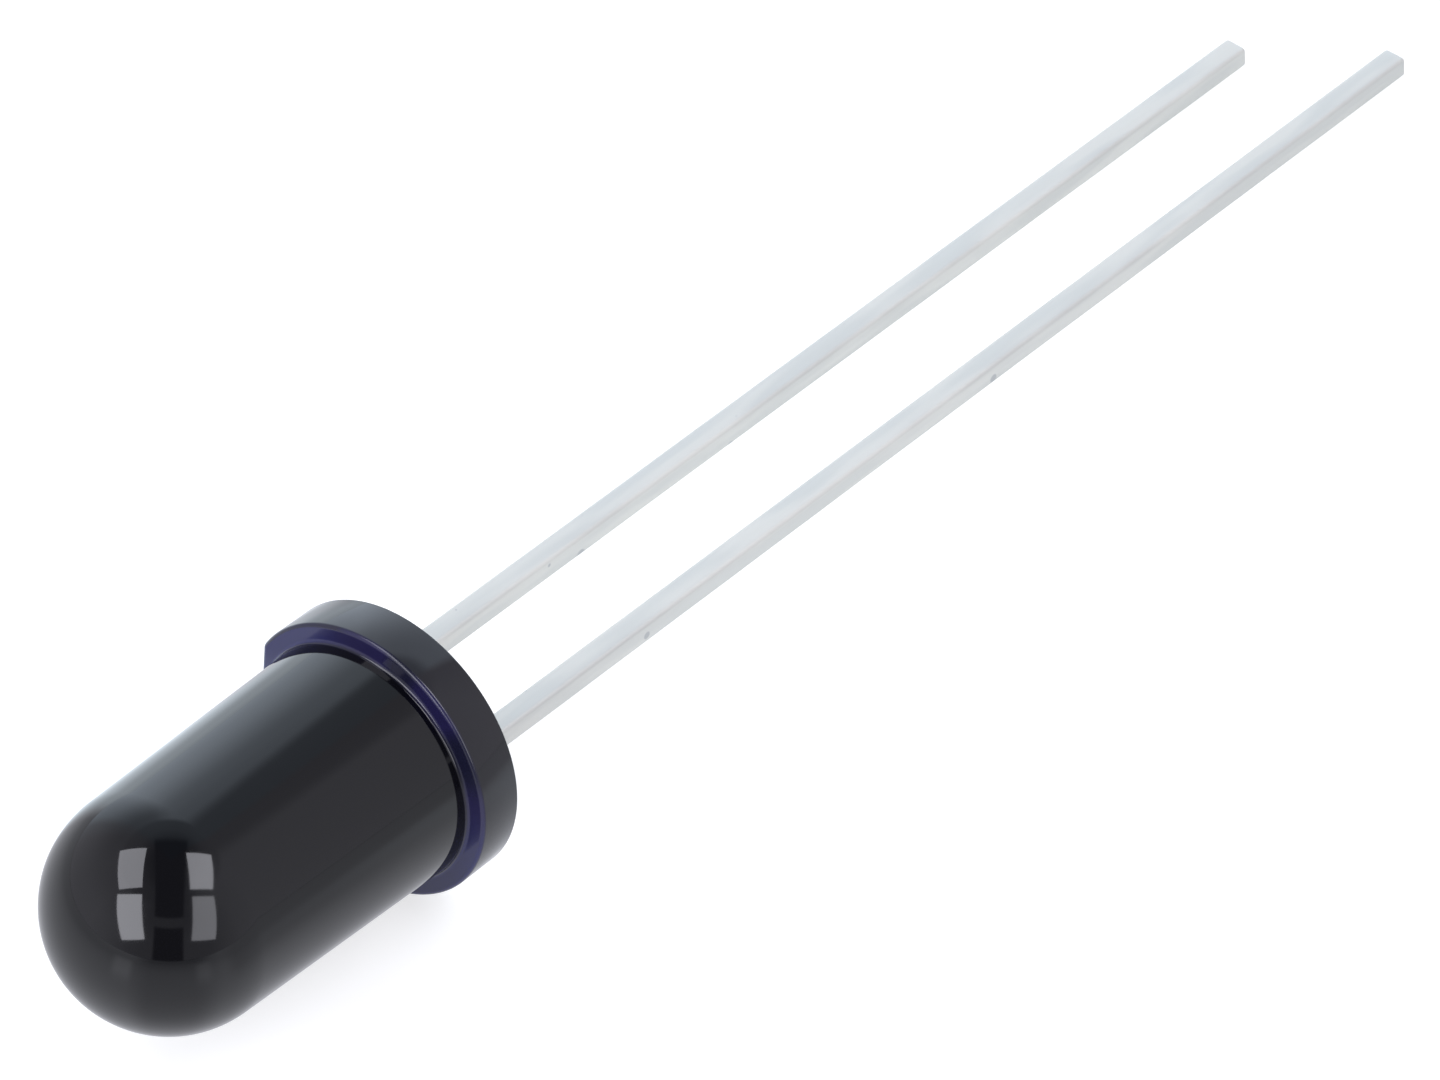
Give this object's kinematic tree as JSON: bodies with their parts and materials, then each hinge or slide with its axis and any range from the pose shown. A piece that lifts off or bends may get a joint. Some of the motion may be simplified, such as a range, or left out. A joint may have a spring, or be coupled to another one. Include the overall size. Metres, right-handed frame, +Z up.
{
  "type": "photodiode",
  "caption": "Through-hole photodiode: a dark resin body with a domed lens, drafted barrel, collar and polarity flat, on two long tinned square leads.",
  "frame": {"origin": "centre of the seating face, which is the rear face of the flange, where the leads leave the resin", "axes": "+Z up as the part lies at rest on the flange's rear rim and both lead tips; +X is the level direction towards the dome, with the optical axis leaning up from it by 5.30 degrees; the anode is on the +Y side, rolled up by 4.19 degrees"},
  "size_m": [0.0383, 0.0056, 0.0059],
  "materials": {
    "resin": "glossy near-black moulded epoxy that passes infrared, indigo where it is thin",
    "tinned_lead": "satin tin plating over a steel strip",
    "conductive_adhesive": "matt silver-filled epoxy",
    "silicon": "polished dark blue coated silicon",
    "bond_wire": "bright gold wire"
  },
  "bodies": {
    "root": {"lens_body": "resin", "cathode_lead": "tinned_lead", "anode_lead": "tinned_lead", "die_adhesive": "conductive_adhesive", "photodiode_chip": "silicon", "bond_wire": "bond_wire"}
  },
  "joints": []
}
